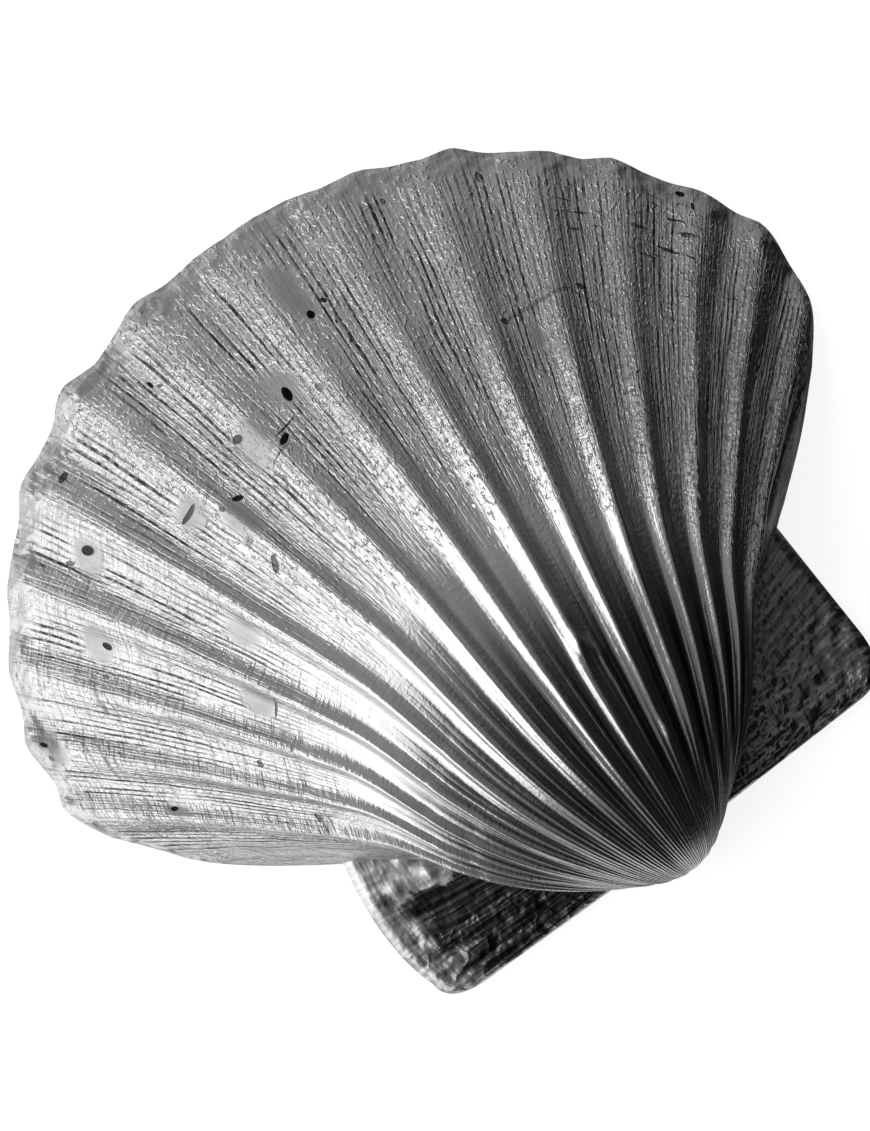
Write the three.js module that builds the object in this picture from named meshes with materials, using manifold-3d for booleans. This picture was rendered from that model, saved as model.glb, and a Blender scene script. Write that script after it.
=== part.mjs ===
// Scallop shell: the convex valve of a great scallop, lying hollow side down on its margin and ears.
//
// Millimetres, +Z up. +X runs along the straight hinge and +Y from the hinge to the round margin.
// The valve grows as a spiral: the margin keeps its shape while it gets larger and turns about the
// hinge line, so every older margin is the present one scaled down and turned up and back.
// The model is built round the middle of the hinge line, then moved so that its origin is the middle
// of its footprint, on the surface it rests on.

import * as THREE from "three";
import { mergeVertices } from "three/addons/utils/BufferGeometryUtils.js";
import Module from "manifold-3d";

// The disc, seen square to the margin. Its outline is an ellipse cut off by two straight flanks
// that meet at the hinge.
const DISC_HALF_WIDTH = 61;
const DISC_HALF_HEIGHT = 56;
const DISC_CENTRE_Y = 45.5;
const FLANK_ANGLE = THREE.MathUtils.degToRad(55.6);
const CORNER_ONSET = 17; // how late the ellipse turns into the flank
const CORNER_FULLNESS = 6; // how far the corner stays out before it runs down the flank
const SKEW = 0.017; // the disc is a little fuller on the -X side

// Growth. The young shell coils tightly and the old one opens out.
const COIL = 1.02; // turn about the hinge, in radians, for each e-fold of growth, at the beak
const UNCOIL = 0.5; // how much less it is at the present margin
const BEAK_SIZE = 0.042; // where the spiral stops, tucked under the beak
const YOUNG = 0.2; // rings up to this size are fully of the beak's own shape
const GROWN = 0.5; // and from this size on, fully of the disc's
const BEAK_SPREAD = 0.2; // how much broader the young shell is
const BEAK_SHIFT = -3.75; // and how far along X it lies, for a ring of size 1
const OUTER_RINGS = 22;

// Ribs. They are evenly spread in the middle and crowd towards the flanks.
const RIB_COUNT = 15;
const RIB_FAN = THREE.MathUtils.degToRad(62.2);
const RIB_STEP = 0.1343;
const RIB_CENTRE = THREE.MathUtils.degToRad(1.2);
const RIB_HEIGHT = 2.3;
const RIB_WEAR = 0.6; // share of the height that is lost between the middle of the disc and the margin
const FACETS_PER_RIB = 6;
const FLANK_FACETS = 6;

// The wall and the hollow under it
const WALL_AT_MARGIN = 1.7;
const WALL_AT_BEAK = 2.7;
const INNER_RIPPLE = 1.1; // height of the ribs' print on the inner face, at the margin
const RIPPLE_START = 0.4; // size of the youngest ring with that print
const HOLLOW_OVERRUN = 1.05; // the cutting body runs on past the margin
const HOLLOW_TOP = 0.14; // size of the youngest ring that the hollow reaches
const HINGE_BAR = 5; // solid stretch of the flanks at the hinge
const INNER_RINGS = 13;

// The ears, one flat plate with the hinge line along its -Y edge
const EAR_THICKNESS = 2;
const PLATE_INSIDE_Y = 12; // where the plate is lost in the disc
const RIGHT_EAR = 35.5;
const RIGHT_NOTCH_Y = 25;
const RIGHT_CORNER_Y = 7.1;
const RIGHT_HINGE_END = 30;
const LEFT_NOTCH = new THREE.Vector2(-35.6, 25);
const LEFT_BOW = new THREE.Vector2(-38.6, 13);
const LEFT_CORNER = new THREE.Vector2(-36, 5);
const LEFT_HINGE_END = new THREE.Vector2(-29, 1.2);

// Pit for the hinge's elastic pad
const PIT_TIP_Y = 0.8;
const PIT_MOUTH_Y = 7;
const PIT_HALF_WIDTH = 3.6;
const PIT_DEPTH = 2;

const X_AXIS = new THREE.Vector3(1, 0, 0);

const wasm = await Module();
wasm.setup();

// Distance from the hinge's middle to the ellipse, along a ray at this angle from +Y.
function ellipseRadius(angle) {
  const across = Math.sin(angle) / DISC_HALF_WIDTH;
  const along = Math.cos(angle) / DISC_HALF_HEIGHT;
  const a = across * across + along * along;
  const b = (-along * DISC_CENTRE_Y) / DISC_HALF_HEIGHT;
  const c = (DISC_CENTRE_Y / DISC_HALF_HEIGHT) ** 2 - 1;
  const far = (-b + Math.sqrt(Math.max(b * b - a * c, 0))) / a;
  return far * (1 - SKEW * Math.sin(3 * angle));
}

function marginRadius(angle) {
  const towardsFlank = Math.abs(angle) / FLANK_ANGLE;
  return ellipseRadius(angle) * (1 - towardsFlank ** CORNER_ONSET) ** (1 / CORNER_FULLNESS);
}

// The same corner read the other way: the angle at which the margin has this share of the
// ellipse's radius.
function flankAngle(share) {
  return FLANK_ANGLE * (1 - share ** CORNER_FULLNESS) ** (1 / CORNER_ONSET);
}

// Ribs are counted from the middle one, 0. Half numbers are the grooves between them.
function ribAngle(rib) {
  return RIB_CENTRE + RIB_FAN * Math.sin(RIB_STEP * rib);
}

// The margin from the -X flank round to the +X flank, as points in the plane z = 0 with the height
// of the rib there, from 0 to 1. It starts and ends tipRadius away from the hinge's middle.
function marginPoints(tipRadius) {
  const edge = RIB_COUNT / 2;
  const points = [];
  for (let i = 0; i <= RIB_COUNT * FACETS_PER_RIB; i++) {
    const rib = -edge + i / FACETS_PER_RIB;
    const angle = ribAngle(rib);
    const radius = marginRadius(angle);
    points.push({
      x: radius * Math.sin(angle),
      y: radius * Math.cos(angle),
      rib: 0.5 + 0.5 * Math.cos(2 * Math.PI * rib),
    });
  }
  const flank = (side) => {
    const lastRib = ribAngle(side * edge);
    const whole = ellipseRadius(side * FLANK_ANGLE);
    const start = marginRadius(lastRib) / ellipseRadius(lastRib);
    const end = tipRadius / whole;
    return Array.from({ length: FLANK_FACETS }, (_, i) => {
      const share = start + (end - start) * ((i + 1) / FLANK_FACETS);
      const angle = side * flankAngle(share);
      return { x: whole * share * Math.sin(angle), y: whole * share * Math.cos(angle), rib: 0 };
    });
  };
  return [...flank(-1).reverse(), ...points, ...flank(1)];
}

// One ring of the spiral. size is 1 at the present margin. wall moves the ring in from the outer
// face, along the surface's own normal, and ribHeight raises its ribs.
function growthRing(size, { wall, ribHeight, tipRadius }) {
  const margin = marginPoints(tipRadius / size);
  const turn = COIL * Math.log(1 / size) - UNCOIL * (1 - size);
  const coil = COIL - UNCOIL * size;
  const young = 1 - THREE.MathUtils.smoothstep(size, YOUNG, GROWN);
  const spread = new THREE.Vector3(1 + BEAK_SPREAD * young, 1, 1);
  const shift = BEAK_SHIFT * young * size;
  return margin.map((point, i) => {
    const before = margin[Math.max(i - 1, 0)];
    const after = margin[Math.min(i + 1, margin.length - 1)];
    const along = new THREE.Vector2(after.x - before.x, after.y - before.y).normalize();
    const reach = Math.max(point.y, 1);
    const normal = new THREE.Vector3(
      -along.y * coil * reach,
      along.x * coil * reach,
      along.x * point.y - along.y * point.x,
    ).normalize();
    const sideways = point.y > 0 ? shift : 0; // a ring that ends in the hinge's middle is held there
    return new THREE.Vector3(point.x, point.y, 0)
      .addScaledVector(normal, point.rib * ribHeight - wall / size)
      .multiplyScalar(size)
      .multiply(spread)
      .add(new THREE.Vector3(sideways, 0, 0))
      .applyAxisAngle(X_AXIS, turn);
  });
}

// A closed body skinned over rings, each end closed by a fan.
function skin(rings) {
  const positions = [];
  const count = rings[0].length;
  const triangle = (a, b, c) => positions.push(...a, ...b, ...c);
  for (let r = 0; r + 1 < rings.length; r++) {
    for (let i = 0; i < count; i++) {
      const next = (i + 1) % count;
      triangle(rings[r][i], rings[r + 1][next], rings[r][next]);
      triangle(rings[r][i], rings[r + 1][i], rings[r + 1][next]);
    }
  }
  const fan = (ring, flip) => {
    const middle = ring.reduce((sum, p) => sum.add(p), new THREE.Vector3()).divideScalar(count);
    ring.forEach((p, i) => {
      const next = ring[(i + 1) % count];
      triangle(middle, flip ? p : next, flip ? next : p);
    });
  };
  fan(rings[0], true);
  fan(rings[rings.length - 1], false);
  const geometry = new THREE.BufferGeometry();
  geometry.setAttribute("position", new THREE.Float32BufferAttribute(positions, 3));
  return geometry;
}

// A closed geometry as a solid that can be joined and cut. Triangles that have shrunk to a line
// where points meet are left out.
function solid(geometry) {
  const bare = geometry.clone();
  bare.deleteAttribute("normal");
  bare.deleteAttribute("uv");
  const merged = mergeVertices(bare, 1e-4);
  const index = merged.index.array;
  const kept = [];
  for (let i = 0; i < index.length; i += 3) {
    const [a, b, c] = [index[i], index[i + 1], index[i + 2]];
    if (a !== b && b !== c && c !== a) {
      kept.push(a, b, c);
    }
  }
  const mesh = new wasm.Mesh({
    numProp: 3,
    vertProperties: new Float32Array(merged.attributes.position.array),
    triVerts: new Uint32Array(kept),
  });
  return new wasm.Manifold(mesh);
}

function geometryOf(manifold) {
  const mesh = manifold.getMesh();
  const geometry = new THREE.BufferGeometry();
  geometry.setAttribute("position", new THREE.BufferAttribute(mesh.vertProperties, 3));
  geometry.setIndex(new THREE.BufferAttribute(mesh.triVerts, 1));
  return geometry;
}

// Ring sizes from the first to the last, each the same share of the one before.
function ringSizes(first, last, count) {
  return Array.from({ length: count }, (_, i) => first * (last / first) ** (i / (count - 1)));
}

// The ribbed disc with its beak, solid right down to the plane of the margin.
function discBody() {
  const rings = ringSizes(1, BEAK_SIZE, OUTER_RINGS).map((size) =>
    growthRing(size, {
      wall: 0,
      ribHeight: RIB_HEIGHT * (1 - RIB_WEAR * THREE.MathUtils.smoothstep(size, GROWN, 1)),
      tipRadius: 0,
    }),
  );
  return skin(rings);
}

// The hollow under the disc. Near the margin its roof carries the print of the ribs.
function hollowBody() {
  const sizes = [HOLLOW_OVERRUN, ...ringSizes(1, HOLLOW_TOP, INNER_RINGS)];
  const rings = sizes.map((size) =>
    growthRing(size, {
      wall: THREE.MathUtils.lerp(WALL_AT_BEAK, WALL_AT_MARGIN, Math.min(size, 1)),
      ribHeight: INNER_RIPPLE * THREE.MathUtils.smoothstep(size, RIPPLE_START, 1),
      tipRadius: HINGE_BAR,
    }),
  );
  return skin(rings);
}

// Both ears and the strip of hinge between them.
function earPlate() {
  const outline = new THREE.Shape();
  outline.moveTo(0, 0);
  outline.lineTo(RIGHT_HINGE_END, 0);
  outline.quadraticCurveTo(RIGHT_EAR, 0, RIGHT_EAR, RIGHT_CORNER_Y);
  outline.lineTo(RIGHT_EAR, RIGHT_NOTCH_Y);
  outline.lineTo(0, PLATE_INSIDE_Y);
  outline.lineTo(LEFT_NOTCH.x, LEFT_NOTCH.y);
  outline.quadraticCurveTo(LEFT_BOW.x, LEFT_BOW.y, LEFT_CORNER.x, LEFT_CORNER.y);
  outline.quadraticCurveTo(LEFT_CORNER.x, LEFT_HINGE_END.y, LEFT_HINGE_END.x, LEFT_HINGE_END.y);
  return new THREE.ExtrudeGeometry(outline, {
    depth: EAR_THICKNESS,
    bevelEnabled: false,
    curveSegments: 6,
  });
}

// A three-sided pit in the underside of the hinge, open towards the hollow.
function padPit() {
  const outline = new THREE.Shape();
  outline.moveTo(0, PIT_TIP_Y);
  outline.lineTo(PIT_HALF_WIDTH, PIT_MOUTH_Y);
  outline.lineTo(-PIT_HALF_WIDTH, PIT_MOUTH_Y);
  const prism = new THREE.ExtrudeGeometry(outline, { depth: 2 * PIT_DEPTH, bevelEnabled: false });
  return prism.translate(0, 0, -PIT_DEPTH);
}

function valve() {
  const body = solid(discBody())
    .add(solid(earPlate()))
    .subtract(solid(hollowBody()))
    .subtract(solid(padPit()));
  const geometry = geometryOf(body);
  geometry.computeBoundingBox();
  const box = geometry.boundingBox;
  const middle = box.getCenter(new THREE.Vector3());
  geometry.translate(-middle.x, -middle.y, -box.min.z);
  geometry.computeVertexNormals();
  const finish = new THREE.MeshStandardMaterial({
    color: 0x9a9a9a,
    roughness: 0.35,
    metalness: 0.6,
    flatShading: true,
  });
  const mesh = new THREE.Mesh(geometry, finish);
  mesh.name = "shell_valve";
  return mesh;
}

const scallopShell = new THREE.Group();
scallopShell.add(valve());

export default scallopShell;
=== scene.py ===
"""A great scallop's convex valve, lying hollow side down on a pale floor.

Shapes are worked out in millimetres in the hinge frame: x along the hinge, y from the hinge to the
round margin, z up. The valve is a spiral: the ring at size s is the present margin scaled by s and
turned about the hinge line. Places on it are given as (rib, size): ribs are counted from the middle
one, 0, and size is 1 at the margin and falls towards the beak.
"""

import bmesh
import bpy
import numpy as np
from math import cos, pi, radians, sin
from mathutils import Matrix, Vector


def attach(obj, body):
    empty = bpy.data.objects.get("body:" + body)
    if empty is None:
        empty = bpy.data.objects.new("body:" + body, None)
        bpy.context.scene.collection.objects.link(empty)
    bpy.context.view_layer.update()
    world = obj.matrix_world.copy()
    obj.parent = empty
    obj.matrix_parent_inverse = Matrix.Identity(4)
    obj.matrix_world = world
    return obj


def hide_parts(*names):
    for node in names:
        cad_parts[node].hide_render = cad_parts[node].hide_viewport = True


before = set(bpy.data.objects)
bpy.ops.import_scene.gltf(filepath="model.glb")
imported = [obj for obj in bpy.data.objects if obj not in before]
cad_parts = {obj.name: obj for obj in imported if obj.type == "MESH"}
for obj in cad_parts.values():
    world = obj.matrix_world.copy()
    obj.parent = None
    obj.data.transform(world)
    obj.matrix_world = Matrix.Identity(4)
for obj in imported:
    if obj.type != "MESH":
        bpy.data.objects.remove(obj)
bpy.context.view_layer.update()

MM = 0.001
# Where the middle of the hinge lies in the part's frame, in mm
HINGE_TO_FRAME = np.array([0.64, -48.6, 0.0])

# ---------------------------------------------------------------- camera
# Angles in radians: the camera leans from straight above towards the hinge, and is turned about
# its own line of sight. AIM and DISTANCE are in mm of the hinge frame, LENS in mm of focal length.
TILT = 0.2
ROLL = radians(38)
DISTANCE = 600.0
AIM = np.array([-2.5, 48.4, 0.0])
LENS = 145.65

ACROSS = np.array([1.0, 0.0, 0.0])
ALONG = np.array([0.0, cos(TILT), sin(TILT)])
TO_CAMERA = np.array([0.0, -sin(TILT), cos(TILT)])
VIEW_RIGHT = cos(ROLL) * ACROSS - sin(ROLL) * ALONG
VIEW_UP = cos(ROLL) * ALONG + sin(ROLL) * ACROSS


def placed(right, up, back, where):
    """Matrix of something whose own axes are these, at a point of the hinge frame in mm."""
    matrix = Matrix([list(v) for v in (right, up, back)]).transposed().to_4x4()
    matrix.translation = Vector((where + HINGE_TO_FRAME) * MM)
    return matrix


def add_camera():
    data = bpy.data.cameras.new("camera")
    data.lens = LENS
    data.sensor_width = 36
    data.clip_start = 0.01
    camera = bpy.data.objects.new("camera", data)
    bpy.context.scene.collection.objects.link(camera)
    camera.matrix_world = placed(VIEW_RIGHT, VIEW_UP, TO_CAMERA, AIM + DISTANCE * TO_CAMERA)
    bpy.context.scene.camera = camera


add_camera()

# ---------------------------------------------------------------- the form, as in the CAD part
DISC_HALF_WIDTH, DISC_HALF_HEIGHT, DISC_CENTRE_Y = 61.0, 56.0, 45.5
FLANK_ANGLE = radians(55.6)
CORNER_ONSET, CORNER_FULLNESS = 17, 6
SKEW = 0.017
COIL, UNCOIL = 1.02, 0.5
BEAK_SIZE = 0.042
RIB_COUNT = 15
EDGE = RIB_COUNT / 2
RIB_FAN, RIB_STEP, RIB_CENTRE = radians(62.2), 0.1343, radians(1.2)
RIB_HEIGHT = 2.3
WALL_AT_MARGIN, WALL_AT_BEAK = 1.7, 2.7
INNER_RIPPLE = 1.1
HOLLOW_OVERRUN, HOLLOW_TOP = 1.05, 0.14
HINGE_BAR = 5.0
YOUNG, GROWN = 0.2, 0.5  # ring sizes between which the beak's own form gives way to the disc's
BEAK_SHIFT, BEAK_SPREAD = -0.75, 0.2

RIBLETS = 12  # fine ribs on each rib
COLUMNS_PER_RIB = 3 * RIBLETS
FLANK_COLUMNS = 24
INNER_COLUMNS_PER_RIB = 10
RIM_START = 0.975  # rings are closer together outside this size
RIM_ROWS, DISC_ROWS, BEAK_ROWS, HOLLOW_ROWS = 6, 102, 22, 52


def smoothstep(low, high, x):
    t = np.clip((x - low) / (high - low), 0, 1)
    return t * t * (3 - 2 * t)


def ellipse_radius(angle):
    across = np.sin(angle) / DISC_HALF_WIDTH
    along = np.cos(angle) / DISC_HALF_HEIGHT
    a = across**2 + along**2
    b = -along * DISC_CENTRE_Y / DISC_HALF_HEIGHT
    c = (DISC_CENTRE_Y / DISC_HALF_HEIGHT) ** 2 - 1
    far = (-b + np.sqrt(np.maximum(b * b - a * c, 0))) / a
    return far * (1 - SKEW * np.sin(3 * angle))


def margin_share(angle):
    towards_flank = np.minimum(np.abs(angle) / FLANK_ANGLE, 1)
    return (1 - towards_flank**CORNER_ONSET) ** (1 / CORNER_FULLNESS)


def rib_angle(rib):
    return RIB_CENTRE + RIB_FAN * np.sin(RIB_STEP * rib)


def margin(tip_radius, per_rib):
    """x, y and rib number of the points of one ring, from the -X flank round to the +X flank."""
    ribs = np.linspace(-EDGE, EDGE, RIB_COUNT * per_rib + 1)
    angles = rib_angle(ribs)
    radii = ellipse_radius(angles) * margin_share(angles)
    parts = [(radii * np.sin(angles), radii * np.cos(angles), ribs)]
    for side in (-1, 1):
        last = rib_angle(side * EDGE)
        whole = ellipse_radius(side * FLANK_ANGLE)
        t = np.arange(1, FLANK_COLUMNS + 1) / FLANK_COLUMNS
        share = margin_share(last) + (tip_radius / whole - margin_share(last)) * t
        bend = (1 - share**CORNER_FULLNESS) ** (1 / CORNER_ONSET)
        angle = side * FLANK_ANGLE * bend
        flank = (whole * share * np.sin(angle), whole * share * np.cos(angle), side * (EDGE + t))
        if side < 0:
            parts.insert(0, tuple(v[::-1] for v in flank))
        else:
            parts.append(flank)
    return [np.concatenate(v) for v in zip(*parts)]


def rings(sizes, tip_radius, per_rib, height):
    """Points of the rings, one row each. height(rib, size) is in mm, out along the surface's normal."""
    points, rib_rows = [], []
    for size in sizes:
        x, y, rib = margin(tip_radius / size, per_rib)
        tx, ty = np.gradient(x), np.gradient(y)
        length = np.hypot(tx, ty)
        tx, ty = tx / length, ty / length
        coil = COIL - UNCOIL * size
        reach = np.maximum(y, 1) * coil
        normal = np.stack([-ty * reach, tx * reach, tx * y - ty * x], 1)
        normal /= np.linalg.norm(normal, axis=1, keepdims=True)
        p = np.stack([x, y, 0 * x], 1) * size + normal * height(rib, size)[:, None]
        turn = COIL * np.log(1 / size) - UNCOIL * (1 - size)
        young = 1 - smoothstep(YOUNG, GROWN, size)
        p[:, 0] = p[:, 0] * (1 + BEAK_SPREAD * young) + BEAK_SHIFT * young * size / YOUNG
        rotated_y = p[:, 1] * cos(turn) - p[:, 2] * sin(turn)
        p[:, 2] = p[:, 1] * sin(turn) + p[:, 2] * cos(turn)
        p[:, 1] = rotated_y
        points.append(p)
        rib_rows.append(rib)
    return np.array(points), np.array(rib_rows)


# ---------------------------------------------------------------- relief
LATTICE = 64


def lattice_noise(x, y, seed):
    """Smooth random values from -1 to 1, one unit apart in x and y."""
    table = np.random.default_rng(seed).uniform(-1, 1, (LATTICE, LATTICE))
    xi, yi = np.floor(x).astype(int), np.floor(y).astype(int)
    fx, fy = x - xi, y - yi
    fx, fy = fx * fx * (3 - 2 * fx), fy * fy * (3 - 2 * fy)
    at = lambda i, j: table[(xi + i) % LATTICE, (yi + j) % LATTICE]
    low = at(0, 0) * (1 - fx) + at(1, 0) * fx
    high = at(0, 1) * (1 - fx) + at(1, 1) * fx
    return low * (1 - fy) + high * fy


# Worn smooth patches: rib, size, half width in ribs, half length in sizes
SMOOTH_PATCHES = [
    (-4.3, 0.61, 0.32, 0.035), (-3.35, 0.64, 0.3, 0.04), (-2.3, 0.755, 0.3, 0.035),
    (-2.0, 0.69, 0.25, 0.05), (-1.2, 0.74, 0.3, 0.05), (-0.5, 0.77, 0.3, 0.045),
    (-5.95, 0.955, 0.35, 0.025), (-4.33, 0.85, 0.3, 0.03), (-3.4, 0.88, 0.25, 0.035),
    (2.65, 0.71, 0.18, 0.045), (0.2, 0.87, 0.2, 0.06), (-6.8, 0.80, 0.2, 0.03),
]

# Growth stops: size, depth in mm, middle rib, half width in ribs
GROWTH_STOPS = [
    (0.545, 0.26, -6.0, 3.6), (0.60, 0.10, 1.0, 5.0), (0.70, 0.10, -5.5, 2.5),
    (0.775, 0.12, 3.0, 3.0), (0.805, 0.14, -5.0, 4.0), (0.865, 0.16, 4.5, 3.5),
    (0.895, 0.13, -3.0, 6.0), (0.925, 0.16, 4.0, 4.5), (0.962, 0.05, 0.0, 9.0),
    (0.36, 0.12, -4.5, 3.0), (0.30, 0.14, -6.0, 2.5),
]

# Blisters: rib, size, height in mm
NODULES = [
    (1.0, 0.345, 0.5), (1.18, 0.335, 0.4), (1.32, 0.325, 0.3),
    (2.02, 0.235, 0.35), (-3.1, 0.63, 0.3), (3.85, 0.65, 0.3),
]


def gentle(x, low, high):
    return np.where((x > low) & (x < high), np.sin(np.pi * (x - low) / (high - low)) ** 2, 0)


def patch_mask(rib, size):
    mask = np.zeros(np.broadcast(rib, size).shape)
    wobble = 0.35 * lattice_noise(rib * 3.0 + 20, size * 30 + 0 * rib, 5)
    for at_rib, at_size, half_rib, half_size in SMOOTH_PATCHES:
        d = 1.25 * np.hypot((rib - at_rib) / half_rib, (size - at_size) / half_size)
        mask = np.maximum(mask, 0.85 - 0.85 * smoothstep(0.4, 1.25, d + wobble))
    return mask


def rib_wave(rib):
    return np.where(np.abs(rib) <= EDGE, 0.5 + 0.5 * np.cos(2 * pi * rib), 0)


def riblet_depth(rib, size):
    """Peak to valley of the fine ribs, in mm."""
    grown = smoothstep(0.42, 0.78, size + 0.05 * lattice_noise(rib * 2 + 7, size * 9 + 0 * rib, 3))
    rim = 1 - smoothstep(0.962, 0.982, size + 0.004 * lattice_noise(rib * 3, 0 * rib + 2, 4))
    uneven = 0.8 + 0.45 * lattice_noise(rib * RIBLETS + 0.5, size * 7 + 0 * rib, 6)
    middle = 1 - 0.62 * smoothstep(-2.2, -0.6, rib) * (1 - smoothstep(4.2, 5.4, rib))
    depth = (0.03 + 0.15 * grown * middle) * uneven * (0.15 + 0.85 * rim)
    return depth * (1 - patch_mask(rib, size))


def riblet_wave(rib):
    """The fine ribs, from -1 to 1. They are coarser on the flanks."""
    beyond = np.maximum(np.abs(rib) - EDGE, 0)
    on_flank = np.cos(2 * pi * FLANK_COLUMNS / 3 * beyond)
    return np.where(beyond > 0, on_flank, np.cos(2 * pi * RIBLETS * rib))


def outer_height(rib, size):
    size = np.full_like(rib, size)
    path = rib + 0.04 * lattice_noise(rib * 0.8 + 3, size * 6, 1) * (1 - smoothstep(0.8, 1, size))
    jog = 0.2 * (1 - smoothstep(0.30, 0.38, size)) * np.exp(-(((rib - 0.95) / 0.55) ** 2))
    path = path + jog
    crested = smoothstep(0.15, 0.35, size) * smoothstep(0.95, 0.65, size)
    sharp = 1 + (1.5 + 0.8 * smoothstep(0, -2, rib)) * crested
    strength = 1 + 0.12 * lattice_noise(np.round(path) * 0.77, size * 2.5, 2)
    strength += 0.2 * smoothstep(0.5, 1.5, rib) * (1 - smoothstep(3.5, 4.5, rib))
    middle = smoothstep(-2.4, -0.8, rib) * (1 - smoothstep(4.2, 5.6, rib))
    faded = smoothstep(0.08, 0.28, size) * (1 - (0.15 + 0.45 * middle) * smoothstep(0.52, 0.8, size))
    faded *= 1 - 0.4 * smoothstep(0.86, 1, size)
    height = RIB_HEIGHT * size * strength * rib_wave(path) ** sharp * faded
    height += riblet_depth(rib, size) * 0.5 * riblet_wave(rib)
    wave = 0.006 * lattice_noise(rib * 1.7, size * 4, 8) - 0.008 * rib_wave(rib)
    for at_size, depth, middle, half in GROWTH_STOPS:
        past = size + wave - at_size
        near = np.exp(-(((rib - middle) / half) ** 4))
        ledge = np.where(past > 0, np.exp(-past / 0.018), smoothstep(-0.006, 0, past))
        height -= depth * near * ledge
    lamella = lattice_noise(rib * 3.1, size * 62, 9)
    height += 0.06 * lamella * smoothstep(0.5, 0.75, size) * (1 - patch_mask(rib, size))
    height += 0.16 * lattice_noise(rib * 1.3, size * 11, 10)
    for at_rib, at_size, tall in NODULES:
        d = np.hypot((rib - at_rib) / 0.1, (size - at_size) / 0.009)
        height += tall * np.exp(-(d**2))
    lip = smoothstep(0.985, 1.0, size)
    return height - 0.2 * lip**2


def painted_groove_shade(rib, size):
    """Painted shade for the base colour: 1 down in the deep grooves between ribs, 0 on top."""
    deep = smoothstep(0.12, 0.22, size) * smoothstep(0.5, 0.3, size)
    return 0.75 * (1 - rib_wave(rib)) ** 3 * deep


def inner_height(rib, size):
    size = np.full_like(rib, size)
    wall = WALL_AT_BEAK + (WALL_AT_MARGIN - WALL_AT_BEAK) * np.minimum(size, 1)
    print_height = INNER_RIPPLE * smoothstep(0.4, 1, size) * size * rib_wave(rib)
    band = 0.10 * gentle(size, 0.80, 0.86) * (np.abs(rib) < EDGE)
    muscle = np.hypot((rib + 0.6) / 2.6, (size - 0.56) / 0.14)
    scar = 0.14 * (1 - smoothstep(0.92, 1.05, muscle))
    return print_height - wall + band + scar + 0.04 * lattice_noise(rib * 2, size * 25, 14)


RIM_BULGES = (-3.0, -2.1, -1.0, 1.4, 2.3)


def rim_shape(rib):
    """Chipped edge of the margin, as a change of size."""
    corners = np.linspace(-EDGE - 1, EDGE + 1, 53)
    chips = np.random.default_rng(11).uniform(-0.006, 0.004, corners.size)
    shape = np.interp(rib, corners, chips)
    for at_rib in RIM_BULGES:
        shape = shape + 0.006 * np.exp(-(((rib - at_rib) / 0.2) ** 2))
    return shape


# ---------------------------------------------------------------- meshes
def face_outwards(mesh):
    sheet = bmesh.new()
    sheet.from_mesh(mesh)
    bmesh.ops.recalc_face_normals(sheet, faces=sheet.faces)
    if sheet.calc_volume(signed=True) < 0:
        bmesh.ops.reverse_faces(sheet, faces=sheet.faces)
    sheet.to_mesh(mesh)
    sheet.free()


def to_object(name, points, faces, material, growth, tone):
    """growth and tone are pairs of numbers for each point, kept as UV layers for the material."""
    mesh = bpy.data.meshes.new(name)
    mesh.from_pydata(((points + HINGE_TO_FRAME) * MM).tolist(), [], faces)
    face_outwards(mesh)
    corners = np.empty(len(mesh.loops), np.int32)
    mesh.loops.foreach_get("vertex_index", corners)
    for layer, values in (("growth", growth), ("tone", tone)):
        uv = mesh.uv_layers.new(name=layer)
        uv.data.foreach_set("uv", values[corners].astype(np.float32).ravel())
    mesh.materials.append(material)
    obj = bpy.data.objects.new(name, mesh)
    bpy.context.scene.collection.objects.link(obj)
    return obj


def grid_faces(rows, columns):
    faces = []
    for r in range(rows - 1):
        a = r * columns
        for i in range(columns - 1):
            faces.append((a + i, a + columns + i, a + columns + i + 1, a + i + 1))
    return faces


def fan_faces(ring, centre):
    return [(centre, ring[i], ring[i + 1]) for i in range(len(ring) - 1)]


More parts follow.
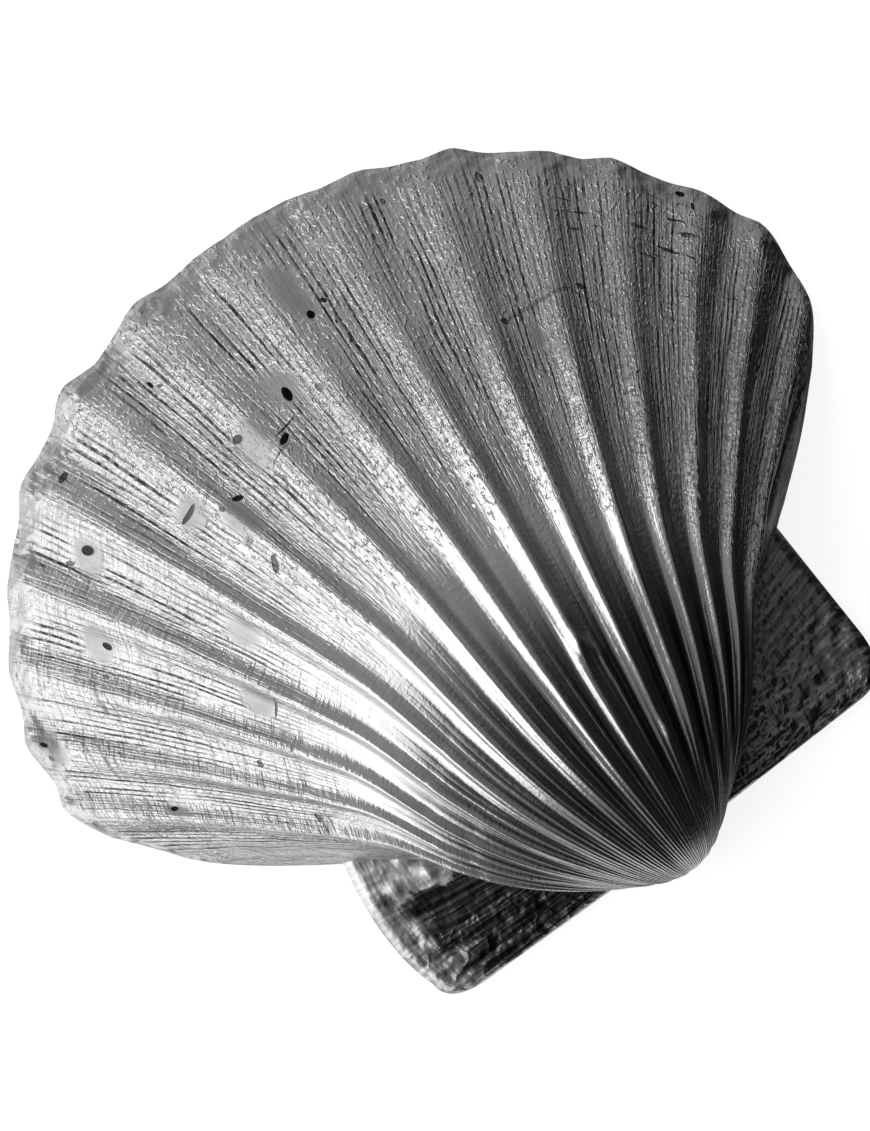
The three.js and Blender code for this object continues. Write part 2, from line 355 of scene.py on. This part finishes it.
def outer_body(material):
    """Solid disc with its beak. Both ends of every ring meet in the hinge's middle point."""
    sizes = np.concatenate([np.linspace(1, RIM_START, RIM_ROWS),
                            np.linspace(RIM_START, YOUNG, DISC_ROWS)[1:],
                            YOUNG * (BEAK_SIZE / YOUNG) ** (np.arange(1, BEAK_ROWS + 1) / BEAK_ROWS)])
    points, ribs = rings(sizes, 0, COLUMNS_PER_RIB, outer_height)
    grown = sizes[:, None] + 0 * ribs
    edge = 1 + rim_shape(ribs) * smoothstep(0.93, 1, grown)
    points[..., :2] *= edge[..., None]
    count = points.shape[1] - 2
    rows = len(sizes)
    # The first tone value is painted shade in the deep grooves; the second is the worn-patch mask.
    tone = np.stack([np.array([painted_groove_shade(ribs[i], sizes[i]) for i in range(rows)]),
                     np.array([patch_mask(ribs[i], sizes[i] + 0 * ribs[i]) for i in range(rows)])], 2)
    flat = lambda a: a[:, 1:-1].reshape(-1, a.shape[-1])
    growth = flat(np.stack([ribs, grown], 2))
    hub = rows * count
    faces = grid_faces(rows, count)
    left = [r * count for r in range(rows)]
    right = [r * count + count - 1 for r in range(rows)]
    faces += [(hub, left[r + 1], left[r]) for r in range(rows - 1)]
    faces += [(hub, right[r], right[r + 1]) for r in range(rows - 1)]
    first = [hub] + list(range(count)) + [hub]
    last = [hub] + list(range((rows - 1) * count, rows * count)) + [hub]
    faces += [tuple(reversed(f)) for f in fan_faces(first, hub + 1)]
    faces += fan_faces(last, hub + 2)
    points[..., 2] = np.maximum(points[..., 2], 0.01 * np.arange(rows)[:, None])
    body = flat(points)
    base, tip = body[:count].mean(0), body[-count:].mean(0)
    extra = np.array([[0, 0, 0], [base[0], base[1], 0], tip])
    body = np.concatenate([body, extra])
    growth = np.concatenate([growth, [[0, 0.05], [0, 1], [0, 0.04]]])
    tone = np.concatenate([flat(tone), [[0, 0], [0, 1], [0, 0]]])
    return to_object("outer", body, faces, material, growth, tone)


def hollow_body(material):
    """The space under the disc."""
    sizes = np.concatenate([[HOLLOW_OVERRUN], np.geomspace(1, HOLLOW_TOP, HOLLOW_ROWS)])
    points, ribs = rings(sizes, HINGE_BAR, INNER_COLUMNS_PER_RIB, inner_height)
    rows, count = points.shape[:2]
    faces = grid_faces(rows, count)
    for r in range(rows - 1):
        a = r * count
        faces.append((a + count - 1, a + 2 * count - 1, a + count, a))
    body = points.reshape(-1, 3)
    hub = rows * count
    first = list(range(count)) + [0]
    last = list(range((rows - 1) * count, rows * count)) + [(rows - 1) * count]
    faces += [tuple(reversed(f)) for f in fan_faces(first, hub)]
    faces += fan_faces(last, hub + 1)
    body = np.concatenate([body, [body[:count].mean(0), body[(rows - 1) * count:].mean(0)]])
    growth = np.stack([ribs, sizes[:, None] + 0 * ribs], 2).reshape(-1, 2)
    growth = np.concatenate([growth, [[0, 1], [0, HOLLOW_TOP]]])
    return to_object("hollow", body, faces, material, growth, 0 * growth)


# ---------------------------------------------------------------- ears
PLATE_INSIDE_Y = 12.0
RIGHT_EAR, RIGHT_CORNER_Y, RIGHT_NOTCH_Y, RIGHT_HINGE_END = 35.5, 7.1, 25, 30
LEFT_HINGE_END, LEFT_CORNER, LEFT_BOW, LEFT_NOTCH = (-29, 1.2), (-36, 5), (-38.6, 13), (-35.6, 25)
LEAST_EAR_THICKNESS = 0.7
EAR_COLUMNS, EAR_ROWS = 68, 60


def curve(points, t):
    """Quadratic curve through its two ends."""
    a, b, c = (np.array(p)[None] for p in points)
    t = t[:, None]
    return (1 - t) ** 2 * a + 2 * t * (1 - t) * b + t * t * c


def evenly(points, count):
    length = np.concatenate([[0], np.cumsum(np.hypot(*np.diff(points, axis=0).T))])
    at = np.linspace(0, length[-1], count)
    return np.stack([np.interp(at, length, points[:, i]) for i in (0, 1)], 1)


def ear_outline(side):
    """Free edge of an ear from the hinge's end to the notch."""
    t = np.linspace(0, 1, 30)
    if side > 0:
        corner = curve([(RIGHT_HINGE_END, 0), (RIGHT_EAR, 0), (RIGHT_EAR, RIGHT_CORNER_Y)], t)
        rise = RIGHT_NOTCH_Y - RIGHT_CORNER_Y
        straight = np.array([(RIGHT_EAR, RIGHT_CORNER_Y + rise * v) for v in t[1:]])
        return evenly(np.concatenate([corner, straight]), EAR_ROWS)
    corner = curve([LEFT_HINGE_END, (LEFT_CORNER[0], LEFT_HINGE_END[1]), LEFT_CORNER], t)
    bow = curve([LEFT_CORNER, LEFT_BOW, LEFT_NOTCH], t)[1:]
    return evenly(np.concatenate([corner, bow]), EAR_ROWS)


def ear_grid(side):
    """Points across an ear: u from the middle of the hinge out, v from the hinge line in."""
    u = np.linspace(0, 1, EAR_COLUMNS)[:, None, None]
    v = np.linspace(0, 1, EAR_ROWS)[None, :, None]
    outer = ear_outline(side)[None]
    inner = np.stack([0 * v[0, :, 0], PLATE_INSIDE_Y * v[0, :, 0]], 1)[None]
    return (1 - u) * inner + u * outer


def ear_height(side, x, y, u, v):
    """Upper face of an ear: it thins towards the free edge and rises to the disc's flank."""
    along_flank = (y * sin(FLANK_ANGLE) - np.abs(x) * cos(FLANK_ANGLE)) + 12.0
    height = 1.5 + 1.1 * smoothstep(0.0, 14.0, along_flank)
    edge = smoothstep(1.0, 0.965, u)
    height = height * (0.55 + 0.45 * edge) + 0.25 * np.exp(-(((u - 0.975) / 0.018) ** 2))
    fade = smoothstep(1.0, 0.94, u) * smoothstep(0.0, 0.06, v)
    wrinkled = 1 - np.abs(lattice_noise(u * 15, v * 12, 23))
    wrinkled -= np.abs(lattice_noise(u * 24, v * 21, 24))
    if side > 0:
        rough = smoothstep(0.35, 0.6, u) * smoothstep(0.6, 0.3, v)
        radial = np.cos(2 * pi * 8 * v + 1.6 * lattice_noise(u * 5, v * 4, 21))
        radial = radial * smoothstep(0.8, 0.3, u)
        height += fade * (0.16 * radial + (0.10 + 0.30 * rough) * wrinkled)
    else:
        radial = np.cos(2 * pi * 9 * v + 1.6 * lattice_noise(u * 5, v * 4, 25))
        bars = smoothstep(0.45, 0.7, lattice_noise(u * 16, v * 9, 26)) * smoothstep(0.45, 0.65, u)
        height += fade * (0.09 * radial + 0.45 * bars + 0.08 * wrinkled)
    return np.maximum(height, LEAST_EAR_THICKNESS)


def plate_body(material):
    """Both ears and the strip of hinge between them, as one closed plate."""
    sheets = []
    for side in (-1, 1):
        p = ear_grid(side)
        u = np.linspace(0, 1, EAR_COLUMNS)[:, None] + 0 * p[..., 0]
        v = np.linspace(0, 1, EAR_ROWS)[None] + 0 * p[..., 0]
        top = ear_height(side, p[..., 0], p[..., 1], u, v)
        sheets.append(np.stack([p[..., 0], p[..., 1], top, side * u, v], 2))
    sheet = np.concatenate([sheets[0][::-1][:-1], sheets[1]])
    columns, rows = sheet.shape[:2]
    count = columns * rows
    flat = sheet.reshape(-1, 5)
    upper, lower = flat[:, :3], flat[:, :3] * [1, 1, 0]
    quads = grid_faces(columns, rows)
    faces = quads + [tuple(count + i for i in reversed(q)) for q in quads]
    loop = [i * rows for i in range(columns)]
    loop += [(columns - 1) * rows + j for j in range(1, rows)]
    loop += [i * rows + rows - 1 for i in range(columns - 2, -1, -1)]
    loop += list(range(rows - 2, 0, -1))
    for a, b in zip(loop, loop[1:] + loop[:1]):
        faces.append((a, count + a, count + b, b))
    growth = np.concatenate([flat[:, 3:], flat[:, 3:]])
    return to_object("plate", np.concatenate([upper, lower]), faces, material, growth, 0 * growth)


PIT_TIP_Y, PIT_MOUTH_Y, PIT_HALF_WIDTH, PIT_DEPTH = 0.8, 7, 3.6, 2


def pit_body(material):
    """Three-sided pit for the hinge's elastic pad."""
    corners = [(0, PIT_TIP_Y), (PIT_HALF_WIDTH, PIT_MOUTH_Y), (-PIT_HALF_WIDTH, PIT_MOUTH_Y)]
    points = np.array([(x, y, z) for z in (-PIT_DEPTH, PIT_DEPTH) for x, y in corners], float)
    faces = [(2, 1, 0), (3, 4, 5), (0, 1, 4, 3), (1, 2, 5, 4), (2, 0, 3, 5)]
    return to_object("pit", points, faces, material, np.zeros((6, 2)), np.zeros((6, 2)))


def cut(target, operation, tool):
    """Joins or cuts a closed body, keeping each face's material and UV layers."""
    modifier = target.modifiers.new("cut", "BOOLEAN")
    modifier.operation = operation
    modifier.solver = "MANIFOLD"
    modifier.material_mode = "TRANSFER"
    modifier.object = tool
    evaluated = target.evaluated_get(bpy.context.evaluated_depsgraph_get())
    mesh = bpy.data.meshes.new_from_object(evaluated)
    target.modifiers.clear()
    target.data = mesh
    bpy.data.objects.remove(tool)


# ---------------------------------------------------------------- materials
class Nodes:
    """Short names for the shader nodes used here."""

    def __init__(self, name):
        self.material = bpy.data.materials.new(name)
        self.material.use_nodes = True
        self.tree = self.material.node_tree
        self.shader = self.tree.nodes["Principled BSDF"]

    def node(self, kind, values=(), **settings):
        made = self.tree.nodes.new(kind)
        for key, value in settings.items():
            setattr(made, key, value)
        for socket, value in dict(values).items():
            self.feed(made.inputs[socket], value)
        return made

    def feed(self, socket, value):
        if isinstance(value, bpy.types.NodeSocket):
            self.tree.links.new(value, socket)
        else:
            socket.default_value = value

    def math(self, operation, a, b=0.0):
        return self.node("ShaderNodeMath", {0: a, 1: b}, operation=operation).outputs[0]

    def ramp(self, value, low, high, start=0.0, end=1.0):
        made = self.node("ShaderNodeMapRange", {0: value, 1: low, 2: high, 3: start, 4: end},
                         interpolation_type="SMOOTHSTEP")
        return made.outputs[0]

    def uv(self, layer):
        made = self.node("ShaderNodeUVMap", uv_map=layer)
        split = self.node("ShaderNodeSeparateXYZ", {0: made.outputs[0]})
        return split.outputs[0], split.outputs[1]

    def vector(self, x, y, z=0.0):
        return self.node("ShaderNodeCombineXYZ", {0: x, 1: y, 2: z}).outputs[0]

    def noise(self, vector, detail=2.0, roughness=0.5, scale=1.0):
        values = {"Vector": vector, "Scale": scale, "Detail": detail, "Roughness": roughness}
        return self.node("ShaderNodeTexNoise", values).outputs[0]

    def stretched(self, x, y, x_scale, y_scale, seed, detail=2.0, roughness=0.5):
        vector = self.vector(self.math("MULTIPLY", x, x_scale), self.math("MULTIPLY", y, y_scale), seed)
        return self.noise(vector, detail, roughness)

    def times(self, *factors):
        result = factors[0]
        for factor in factors[1:]:
            result = self.math("MULTIPLY", result, factor)
        return result

    def total(self, *terms):
        result = terms[0]
        for term in terms[1:]:
            result = self.math("ADD", result, term)
        return result

    def spot(self, x, y, at_x, at_y, half_x, half_y, lean=0.0, soft=0.35):
        """1 inside a leaning oval, 0 outside."""
        dx = self.math("DIVIDE", self.math("SUBTRACT", x, at_x), half_x)
        dy = self.math("DIVIDE", self.math("SUBTRACT", y, at_y), half_y)
        dx = self.math("ADD", dx, self.math("MULTIPLY", dy, lean))
        squares = self.math("ADD", self.math("MULTIPLY", dx, dx), self.math("MULTIPLY", dy, dy))
        return self.ramp(squares, 1 + soft, 1 - soft)

    def most(self, *terms):
        result = terms[0]
        for term in terms[1:]:
            result = self.math("MAXIMUM", result, term)
        return result

    def grey(self, level):
        return self.node("ShaderNodeCombineColor", {0: level, 1: level, 2: level}).outputs[0]

    def bump(self, height):
        made = self.node("ShaderNodeBump", {"Height": height, "Distance": MM, "Strength": 1.0})
        self.feed(self.shader.inputs["Normal"], made.outputs[0])


# Holes and stains: rib, size, half width, half length, lean, darkness, depth in mm. The darkness is
# painted shade inside the holes and the stain's own colour on the stains.
MARKS = [
    (-0.49, 0.756, 0.085, 0.0175, -0.2, 1.0, 0.5), (-0.875, 0.711, 0.10, 0.010, -0.8, 1.0, 0.5),
    (-0.76, 0.724, 0.10, 0.006, -2.4, 0.75, 0.2), (-1.05, 0.700, 0.13, 0.005, -2.2, 0.5, 0.1),
    (0.26, 0.826, 0.07, 0.0105, -0.2, 1.0, 0.5), (0.46, 0.838, 0.04, 0.007, 0.3, 0.9, 0.3),
    (0.45, 0.802, 0.025, 0.004, 0, 0.8, 0.1), (0.47, 0.769, 0.03, 0.004, 0, 0.8, 0.1),
    (-1.27, 0.758, 0.09, 0.010, 0.3, 0.6, 0.2), (-1.81, 0.710, 0.09, 0.008, 0.6, 0.9, 0.3),
    (-2.34, 0.759, 0.17, 0.008, 0.9, 0.6, 0.2), (-2.03, 0.714, 0.06, 0.007, 0.3, 0.5, 0.1),
    (-2.21, 0.627, 0.14, 0.010, -0.6, 0.6, 0.3), (-2.17, 0.667, 0.07, 0.006, 0.5, 0.45, 0.1),
    (-3.31, 0.879, 0.085, 0.016, 0.5, 0.75, 0.3), (-3.53, 0.906, 0.04, 0.010, 0.5, 0.6, 0.2),
    (-4.33, 0.835, 0.07, 0.0115, 0, 0.75, 0.3), (-4.29, 0.583, 0.21, 0.004, 1.1, 0.6, 0.2),
    (-6.79, 0.804, 0.06, 0.011, 0.4, 0.85, 0.3), (-5.88, 0.967, 0.055, 0.010, 0, 0.8, 0.3),
    (-6.07, 0.965, 0.06, 0.007, 0, 0.4, 0.1), (-2.73, 0.947, 0.11, 0.008, 0, 0.75, 0.2),
    (-1.46, 0.906, 0.03, 0.010, 0, 0.95, 0.2), (-1.40, 0.893, 0.04, 0.006, 0.4, 0.6, 0.1),
    (-4.73, 0.838, 0.05, 0.008, 0, 0.45, 0.1), (-5.52, 0.62, 0.11, 0.007, 0, 0.6, 0.2),
    (-6.65, 0.569, 0.17, 0.008, 0, 0.6, 0.2), (1.48, 0.945, 0.04, 0.009, 0, 0.6, 0.2),
    (2.48, 0.957, 0.07, 0.013, 0, 0.6, 0.2), (4.75, 0.983, 0.10, 0.008, 0, 0.9, 0.2),
    (3.375, 0.787, 0.10, 0.007, 0, 0.7, 0.2), (2.27, 0.732, 0.08, 0.008, 0, 0.7, 0.2),
    (4.92, 0.966, 0.04, 0.012, 0.4, 0.85, 0.2), (-0.15, 0.735, 0.06, 0.010, 0.3, 0.5, 0.2),
]


# Heights in mm of the relief that is too fine for the mesh
BEAD_HEIGHT, STRIA_HEIGHT, GAP_DEPTH = 0.12, 0.12, 0.08
GLITTER_HEIGHT, FACET_HEIGHT, GRAIN_HEIGHT = 0.4, 0.9, 0.05
EAR_LINES = 19


def outer_material():
    n = Nodes("shell_outer")
    rib, size = n.uv("growth")
    # The tone layer brings painted shade for the deep grooves and the worn-patch mask.
    groove_painted_shade, patch = n.uv("tone")
    past_flanks = n.math("SUBTRACT", rib, n.most(n.math("MINIMUM", rib, EDGE), -EDGE))
    rib = n.total(rib, n.times(past_flanks, 6.0))
    dotted = n.ramp(n.stretched(rib, size, 14, 105, 5, 1.0, 0.5), 0.35, 0.62, 0.65, 1.0)
    wander = n.times(n.stretched(rib, size, 5, 9, 10, 2.0, 0.5), 0.09)
    line = n.total(rib, wander)
    place = n.node("ShaderNodeTexCoord").outputs["Object"]
    grown = n.ramp(size, 0.4, 0.68)
    textured = n.math("SUBTRACT", 1.0, patch)
    rim = n.ramp(n.total(size, n.times(n.stretched(rib, size, 3, 5, 1), 0.02)),
                 0.945, 0.99)
    inside_rim = n.ramp(rim, 0.0, 1.0, 1.0, 0.35)
    lamellae = n.stretched(rib, size, 2.4, 230, 2, 3.0, 0.6)
    striae = n.stretched(rib, size, 38, 7, 3, 2.0, 0.6)
    beads = n.ramp(n.stretched(rib, size, 21, 120, 4, 1.0, 0.5), 0.5, 0.75)
    gaps = n.ramp(n.math("COSINE", n.times(line, 2 * pi * RIBLETS)), 0.1, -0.9)
    uneven = n.ramp(n.stretched(line, size, 9, 7, 8, 2.0, 0.6), 0.33, 0.6, 0.2, 1.0)
    gaps = n.times(gaps, uneven)
    valleys = n.ramp(n.math("COSINE", n.times(rib, 2 * pi)), 0.8, -0.5, 0.5, 1.0)
    young = n.math("COSINE", n.times(line, 2 * pi * 5))
    young = n.times(young, n.ramp(size, 0.5, 0.3, 0.0, 0.03))
    calm = n.ramp(rib, -1.5, -3.5, 1.0, 0.45)
    grain = n.noise(place, 3.0, 0.6, 1700)
    facets = n.noise(place, 1.0, 0.5, 380)
    # Left flank of each rib, where the key light's highlight falls.
    lit_flanks = n.ramp(n.math("COSINE", n.times(n.total(rib, 0.17), 2 * pi)), 0.2, 0.9)
    glitter = n.ramp(n.stretched(rib, size, 19, 95, 9, 1.0, 0.5), 0.58, 0.68)
    middle_ribs = n.ramp(rib, -3.2, -1.6, 0.15, 1.0)
    glitter = n.times(glitter, lit_flanks, n.ramp(size, 0.45, 0.55), textured, middle_ribs)
    cover = n.times(textured, grown, inside_rim)
    left_side = n.ramp(rib, -1.5, -4.0)
    threads = n.total(n.times(cover, 0.08), n.times(left_side, 0.035), 0.015)
    layers = n.stretched(rib, size, 1.8, 105, 11, 2.0, 0.6)
    ledges = n.times(layers, n.times(left_side, 0.22))
    # Dark lines along the ledges on the left, used only as painted shade.
    cross = n.times(n.ramp(layers, 0.46, 0.34), n.times(left_side, 0.4))
    relief = n.total(n.times(beads, cover, calm, BEAD_HEIGHT),
                     n.times(gaps, cover, -GAP_DEPTH), young,
                     n.times(ledges, cover),
                     n.times(lamellae, threads, textured),
                     n.times(striae, cover, calm, STRIA_HEIGHT),
                     n.times(glitter, GLITTER_HEIGHT), n.times(facets, rim, FACET_HEIGHT),
                     n.times(grain, GRAIN_HEIGHT))
    hole_shade_and_stains, pits = None, None
    for at_rib, at_size, half_rib, half_size, lean, dark, depth in MARKS:
        mark = n.spot(rib, size, at_rib, at_size, 0.6 * half_rib, 0.6 * half_size, lean)
        darkness = n.times(mark, dark)
        sunk = n.times(mark, depth)
        hole_shade_and_stains = darkness if hole_shade_and_stains is None else n.most(hole_shade_and_stains, darkness)
        pits = sunk if pits is None else n.most(pits, sunk)
    n.bump(n.math("SUBTRACT", relief, pits))
    lines = n.ramp(n.stretched(rib, size, 2.1, 95, 6, 2.0, 0.6), 0.56, 0.66)
    right_band = n.most(n.spot(rib, size, 4.6, 0.87, 0.55, 0.10, 0, 0.8),
                        n.spot(rib, size, 3.4, 0.90, 0.35, 0.05, 0, 0.8),
                        n.times(n.spot(rib, size, -6.0, 0.86, 1.4, 0.08, 0, 0.8), 0.6))
    stain = n.times(lines, right_band)
    bend = n.times(n.most(n.math("SUBTRACT", rib, 3.2), 0.0), -0.10)
    arc = n.total(n.times(rib, 0.05), bend, 0.62)
    off_arc = n.math("ABSOLUTE", n.math("SUBTRACT", size, arc))
    near_arc = n.spot(rib, size, 3.0, 0.76, 0.8, 0.1, 0, 0.2)
    scar = n.times(n.ramp(off_arc, 0.005, 0.002), near_arc)
    stain = n.most(stain, n.times(scar, dotted, 0.5))
    blotch = n.stretched(rib, size, 1.6, 14, 7, 3.0, 0.6)
    base = n.total(n.times(blotch, 0.25), 0.50)
    # Painted shade: the base is darkened in the gaps between fine ribs, in the valleys between ribs,
    # along the ledge lines on the left and in the deep grooves.
    painted_shade = n.times(gaps, dotted, valleys)
    painted_shade = n.times(n.most(painted_shade, cross), cover, 0.85)
    base = n.times(base, n.ramp(n.total(painted_shade, groove_painted_shade), 0.0, 0.9, 1.0, 0.05))
    worn = n.total(patch, n.times(rim, 0.6))
    base = n.times(base, n.ramp(worn, 0.0, 1.0, 1.0, 0.72))
    base = n.times(base, n.ramp(stain, 0.0, 1.0, 1.0, 0.15))
    base = n.times(base, n.ramp(size, 0.18, 0.44, 0.9, 1.0))
    # Painted glints: the base is lightened on the glitter spots on the lit rib flanks.
    base = n.total(base, n.times(glitter, 0.15))
    # Painted shade inside the holes, and the stains' own dark colour.
    base = n.times(base, n.ramp(hole_shade_and_stains, 0.0, 1.0, 1.0, 0.02))
    n.feed(n.shader.inputs["Base Color"], n.grey(base))
    rough = n.total(n.times(n.noise(place, 2.0, 0.6, 500), 0.14), 0.16)
    rough = n.total(rough, n.times(rim, 0.1), n.times(patch, 0.3), n.times(hole_shade_and_stains, 0.4))
    n.feed(n.shader.inputs["Roughness"], rough)
    n.shader.inputs["Metallic"].default_value = 0.97
    return n.material


def ear_material():
    n = Nodes("shell_ear")
    across, inward = n.uv("growth")
    out = n.math("ABSOLUTE", across)
    left = n.ramp(across, 0.0, -0.05)
    right = n.math("SUBTRACT", 1.0, left)
    place = n.node("ShaderNodeTexCoord").outputs["Object"]
    grain = n.noise(place, 3.0, 0.6, 1500)
    rough_corner = n.times(n.ramp(out, 0.3, 0.6), n.ramp(inward, 0.65, 0.4))
    folds = n.math("ABSOLUTE", n.math("SUBTRACT", n.noise(place, 2.0, 0.55, 280), 0.5))
    wander = n.times(n.stretched(across, inward, 5, 4, 1), 1.6)
    radial = n.total(n.times(inward, 2 * pi * EAR_LINES), n.times(wander, 6))
    radial = n.math("COSINE", radial)
    growth = n.stretched(across, inward, 22, 3, 2, 2.0, 0.6)
    folded = n.ramp(rough_corner, 0.0, 1.0, -0.4, -1.3)
    n.bump(n.total(n.times(folds, folded), n.times(radial, 0.018),
                   n.times(growth, 0.25), n.times(grain, 0.06)))
    ragged = n.times(n.math("SUBTRACT", n.noise(place, 3.0, 0.6, 260), 0.5), 0.45)
    inner = n.ramp(n.total(inward, ragged), 0.70, 0.76)
    outer = n.ramp(n.total(out, ragged), 0.80, 0.95)
    pale = n.times(n.most(inner, n.times(outer, 0.6)), left)
    streaks = n.ramp(n.stretched(across, inward, 3, 46, 3, 3.0, 0.6), 0.42, 0.62)
    base = n.ramp(streaks, 0.0, 1.0, 0.03, 0.16)
    base = n.total(base, n.times(right, 0.16), n.times(pale, 0.65))
    hinge_band = n.times(n.ramp(inward, 0.10, 0.05), 0.25)
    base = n.total(base, n.times(hinge_band, left))
    # Painted shade: a hole in the left ear, drawn only as a nearly black spot in the base colour.
    painted_hole_shade = n.spot(across, inward, -0.62, 0.93, 0.035, 0.03)
    base = n.times(base, n.ramp(painted_hole_shade, 0.0, 1.0, 1.0, 0.03))
    n.feed(n.shader.inputs["Base Color"], n.grey(base))
    rough = n.total(n.times(n.noise(place, 2.0, 0.6, 600), 0.2), n.times(pale, 0.2))
    n.feed(n.shader.inputs["Roughness"], n.total(rough, 0.2))
    n.shader.inputs["Metallic"].default_value = 0.97
    return n.material


def inner_material():
    n = Nodes("shell_inner")
    rib, size = n.uv("growth")
    place = n.node("ShaderNodeTexCoord").outputs["Object"]
    bands = n.stretched(rib, size, 1.2, 45, 1, 3.0, 0.5)
    grain = n.noise(place, 2.0, 0.5, 900)
    n.bump(n.total(n.times(bands, 0.06), n.times(grain, 0.02)))
    base = n.total(n.times(bands, 0.18), 0.52)
    n.feed(n.shader.inputs["Base Color"], n.grey(base))
    rough = n.total(n.times(n.noise(place, 2.0, 0.5, 200), 0.16), 0.20)
    n.feed(n.shader.inputs["Roughness"], rough)
    n.shader.inputs["Metallic"].default_value = 0.6
    return n.material


# ---------------------------------------------------------------- the valve
SHARP_DEGREES = 70


def valve():
    outer, ear, inner = outer_material(), ear_material(), inner_material()
    body = outer_body(outer)
    cut(body, "UNION", plate_body(ear))
    cut(body, "DIFFERENCE", hollow_body(inner))
    cut(body, "DIFFERENCE", pit_body(inner))
    body.name = body.data.name = "valve"
    body.data.shade_smooth()
    body.data.set_sharp_from_angle(angle=radians(SHARP_DEGREES))
    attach(body, "root")
    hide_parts("shell_valve")


valve()

# ---------------------------------------------------------------- studio
FLOOR_RADIUS = 2.4
WALL_RADIUS = 0.9


def add_floor():
    """A pale floor that sweeps up into a wall all round."""
    angles = np.linspace(0, pi / 2, 14)
    profile = [(FLOOR_RADIUS * t, 0.0) for t in np.linspace(0.02, 1, 12)]
    profile += [(FLOOR_RADIUS + WALL_RADIUS * sin(a), WALL_RADIUS * (1 - cos(a))) for a in angles[1:]]
    profile.append((FLOOR_RADIUS + WALL_RADIUS, 3.5))
    turns = 72
    points = [(r * cos(2 * pi * i / turns), r * sin(2 * pi * i / turns), z)
              for r, z in profile for i in range(turns)]
    faces = []
    for j in range(len(profile) - 1):
        for i in range(turns):
            k = (i + 1) % turns
            faces.append((j * turns + i, j * turns + k, (j + 1) * turns + k, (j + 1) * turns + i))
    faces.append(tuple(range(turns))[::-1])
    mesh = bpy.data.meshes.new("floor")
    mesh.from_pydata(points, [], faces)
    mesh.shade_smooth()
    n = Nodes("floor")
    n.shader.inputs["Base Color"].default_value = (0.6, 0.6, 0.6, 1)
    n.shader.inputs["Roughness"].default_value = 0.9
    n.shader.inputs["Specular IOR Level"].default_value = 0.1
    n.shader.inputs["Emission Color"].default_value = (1, 1, 1, 1)
    n.shader.inputs["Emission Strength"].default_value = 0.86
    mesh.materials.append(n.material)
    floor = bpy.data.objects.new("floor", mesh)
    bpy.context.scene.collection.objects.link(floor)
    floor.visible_glossy = False
    floor.visible_diffuse = False
    floor.visible_shadow = False


def view_direction(right_degrees, up_degrees=0.0):
    a, b = radians(right_degrees), radians(up_degrees)
    return cos(b) * (sin(a) * VIEW_RIGHT + cos(a) * TO_CAMERA) + sin(b) * VIEW_UP


def add_softbox(name, direction, distance, width, height, radiance):
    """A square light facing the shell, its width across the direction from the camera's side."""
    back = direction / np.linalg.norm(direction)
    side = np.cross(VIEW_UP, back)
    side /= np.linalg.norm(side)
    data = bpy.data.lights.new(name, "AREA")
    data.shape = "RECTANGLE"
    data.size, data.size_y = width, height
    data.energy = radiance * pi * width * height
    lamp = bpy.data.objects.new(name, data)
    bpy.context.scene.collection.objects.link(lamp)
    centre = np.array([0.0, 48.0, 8.0])
    lamp.matrix_world = placed(side, np.cross(back, side), back, centre + back * distance / MM)


def add_world():
    """A dim room: grey above and on the left, nearly black on the right, bright low down on the
    left and low down in front."""
    world = bpy.data.worlds.new("room")
    bpy.context.scene.world = world
    world.use_nodes = True
    n = Nodes.__new__(Nodes)
    n.tree = world.node_tree
    direction = n.node("ShaderNodeTexCoord").outputs["Generated"]

    def towards(vector):
        made = n.node("ShaderNodeVectorMath", {0: direction, 1: vector}, operation="DOT_PRODUCT")
        return made.outputs["Value"]

    right, up, down = towards(VIEW_RIGHT), towards(VIEW_UP), towards((0, 0, -1))
    above = n.ramp(n.math("SUBTRACT", up, n.times(right, 0.35)), 0.2, 0.9, 0.0, 0.16)
    left = n.ramp(right, 0.35, -0.1, 0.0, 0.18)
    below = n.ramp(n.math("SUBTRACT", down, n.times(right, 0.6)), 0.05, 0.3, 0.0, 0.24)
    lit_floor = n.times(n.ramp(right, -0.45, -0.9, 0.0, 0.95), n.ramp(down, -0.15, 0.15))
    front = n.times(n.ramp(up, -0.05, -0.35, 0.0, 0.8), n.ramp(right, 0.4, 0.1))
    front = n.times(front, n.ramp(down, 0.3, 0.7))
    level = n.total(above, left, below, lit_floor, front, 0.01)
    n.feed(world.node_tree.nodes["Background"].inputs["Color"], n.grey(level))


add_floor()
add_softbox("key", view_direction(-62, -14), 0.5, 0.41, 0.95, 1.75)
add_world()
bpy.context.scene.view_settings.view_transform = "Standard"
